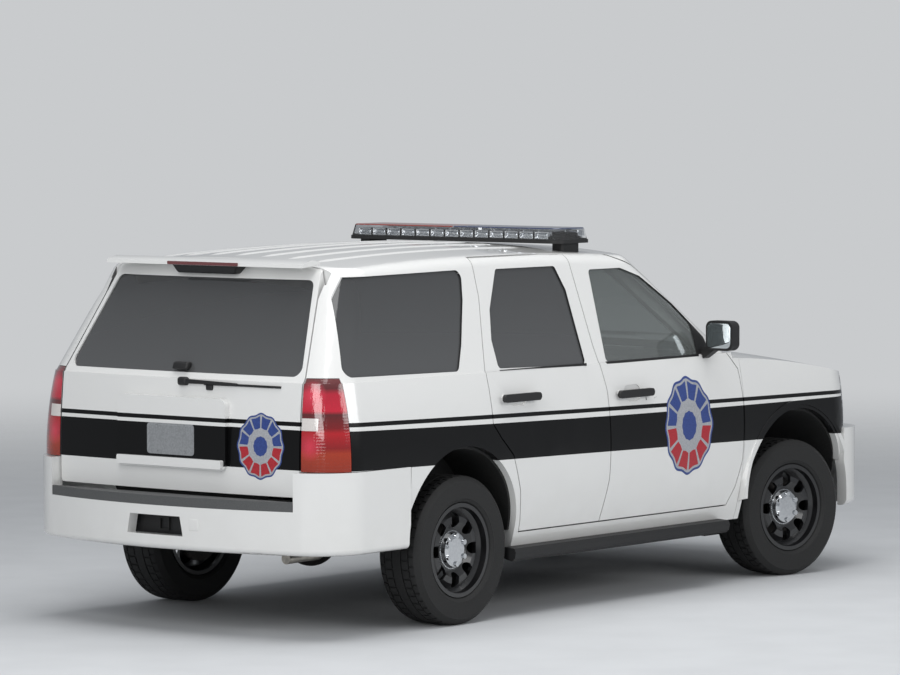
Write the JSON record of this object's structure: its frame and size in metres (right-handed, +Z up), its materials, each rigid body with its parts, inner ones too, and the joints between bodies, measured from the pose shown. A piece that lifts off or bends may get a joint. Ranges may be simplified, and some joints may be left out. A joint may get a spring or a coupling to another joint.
{
  "type": "police sport utility vehicle",
  "caption": "Full-size police utility vehicle with hinged doors, hood and liftgate, steered front wheels and a roof light bar",
  "frame": {"origin": "on the ground under the middle of the vehicle, half way between its bumper ends", "axes": "+X forward, +Y to the vehicle's left, +Z up"},
  "size_m": [5.13, 2.306, 1.928],
  "materials": {
    "body_paint": "gloss white paint",
    "dark_trim": "grained black plastic",
    "tinted_glass": "tinted safety glass",
    "clear_glass": "clear safety glass",
    "tyre_rubber": "matt tyre rubber",
    "wheel_steel": "semi-gloss black paint",
    "lamp_red": "red lamp lens",
    "lamp_clear": "clear lamp lens",
    "bar_lens": "tinted light bar lens",
    "grey_trim": "grey moulded plastic",
    "chassis": "black chassis paint",
    "cast": "bare cast iron",
    "exhaust_steel": "dull exhaust steel",
    "cloth": "dark seat cloth"
  },
  "bodies": {
    "body": {"body_sides": "body_paint", "roof": "body_paint", "bulkhead": "body_paint", "floor": "chassis", "front_fenders": "body_paint", "windshield": "clear_glass", "quarter_glass": "tinted_glass", "headlamps": "lamp_clear", "grille": "dark_trim", "front_bumper": "body_paint", "rear_bumper": "body_paint", "step_pad": "grey_trim", "tail_lamps": "lamp_red", "light_bar_base": "dark_trim", "light_bar_lens": "bar_lens", "running_boards": "dark_trim", "frame": "chassis", "rear_wheelhouses": "dark_trim", "front_wheelhouses": "dark_trim", "engine": "cast", "rear_axle": "cast", "drive_shaft": "chassis", "exhaust": "exhaust_steel", "fuel_tank": "dark_trim", "control_arms": "chassis", "dashboard": "grey_trim", "steering_wheel": "dark_trim", "seats": "cloth"},
    "hood": {"hood": "body_paint"},
    "liftgate": {"liftgate": "body_paint", "liftgate_glass": "tinted_glass", "liftgate_pull": "dark_trim", "stop_lamp": "lamp_red"},
    "knuckle_right": {"knuckle_right": "cast"},
    "knuckle_left": {"knuckle_left": "cast"},
    "front_door_right": {"front_door_right": "body_paint", "front_door_glass_right": "clear_glass", "mirror_right": "dark_trim"},
    "rear_door_right": {"rear_door_right": "body_paint", "rear_door_glass_right": "tinted_glass"},
    "wheel_front_right": {"wheel_front_right": "wheel_steel", "tyre_front_right": "tyre_rubber"},
    "wheel_rear_right": {"wheel_rear_right": "wheel_steel", "tyre_rear_right": "tyre_rubber"},
    "front_door_left": {"front_door_left": "body_paint", "front_door_glass_left": "clear_glass", "mirror_left": "dark_trim"},
    "rear_door_left": {"rear_door_left": "body_paint", "rear_door_glass_left": "tinted_glass"},
    "wheel_front_left": {"wheel_front_left": "wheel_steel", "tyre_front_left": "tyre_rubber"},
    "wheel_rear_left": {"wheel_rear_left": "wheel_steel", "tyre_rear_left": "tyre_rubber"}
  },
  "joints": [
    {"name": "front_door_right_hinge", "type": "hinge", "parent": "body", "child": "front_door_right", "pos_m": [1.018, -0.988, 0.9], "axis": [0, 0.0699, 0.9976], "range_deg": [0, 65]},
    {"name": "rear_door_right_hinge", "type": "hinge", "parent": "body", "child": "rear_door_right", "pos_m": [-0.196, -0.988, 0.9], "axis": [0, 0.0699, 0.9976], "range_deg": [0, 65]},
    {"name": "front_door_left_hinge", "type": "hinge", "parent": "body", "child": "front_door_left", "pos_m": [1.018, 0.988, 0.9], "axis": [0, 0.0699, -0.9976], "range_deg": [0, 65]},
    {"name": "rear_door_left_hinge", "type": "hinge", "parent": "body", "child": "rear_door_left", "pos_m": [-0.196, 0.988, 0.9], "axis": [0, 0.0699, -0.9976], "range_deg": [0, 65]},
    {"name": "hood_hinge", "type": "hinge", "parent": "body", "child": "hood", "pos_m": [1.128, 0, 1.266], "axis": [0, -1, 0], "range_deg": [0, 50]},
    {"name": "liftgate_hinge", "type": "hinge", "parent": "body", "child": "liftgate", "pos_m": [-2.0585, 0, 1.826], "axis": [0, 1, 0], "range_deg": [0, 85]},
    {"name": "steer_left", "type": "hinge", "parent": "body", "child": "knuckle_left", "pos_m": [1.572, 0.8, 0.371], "axis": [0, 0, 1], "range_deg": [-22, 42]},
    {"name": "steer_right", "type": "hinge", "parent": "body", "child": "knuckle_right", "pos_m": [1.572, -0.8, 0.371], "axis": [0, 0, 1], "range_deg": [-22, 42]},
    {"name": "spin_front_left", "type": "hinge", "parent": "knuckle_left", "child": "wheel_front_left", "pos_m": [1.58346, 0.865, 0.371], "axis": [0.1736, 0.9848, 0], "continuous": true},
    {"name": "spin_rear_left", "type": "hinge", "parent": "body", "child": "wheel_rear_left", "pos_m": [-1.374, 0.851, 0.371], "axis": [0, 1, 0], "continuous": true},
    {"name": "spin_front_right", "type": "hinge", "parent": "knuckle_right", "child": "wheel_front_right", "pos_m": [1.56054, -0.865, 0.371], "axis": [0.1736, 0.9848, 0], "continuous": true},
    {"name": "spin_rear_right", "type": "hinge", "parent": "body", "child": "wheel_rear_right", "pos_m": [-1.374, -0.851, 0.371], "axis": [0, 1, 0], "continuous": true}
  ],
  "couplings": [
    {"joint": "steer_right", "follows": "steer_left", "ratio": 1}
  ]
}
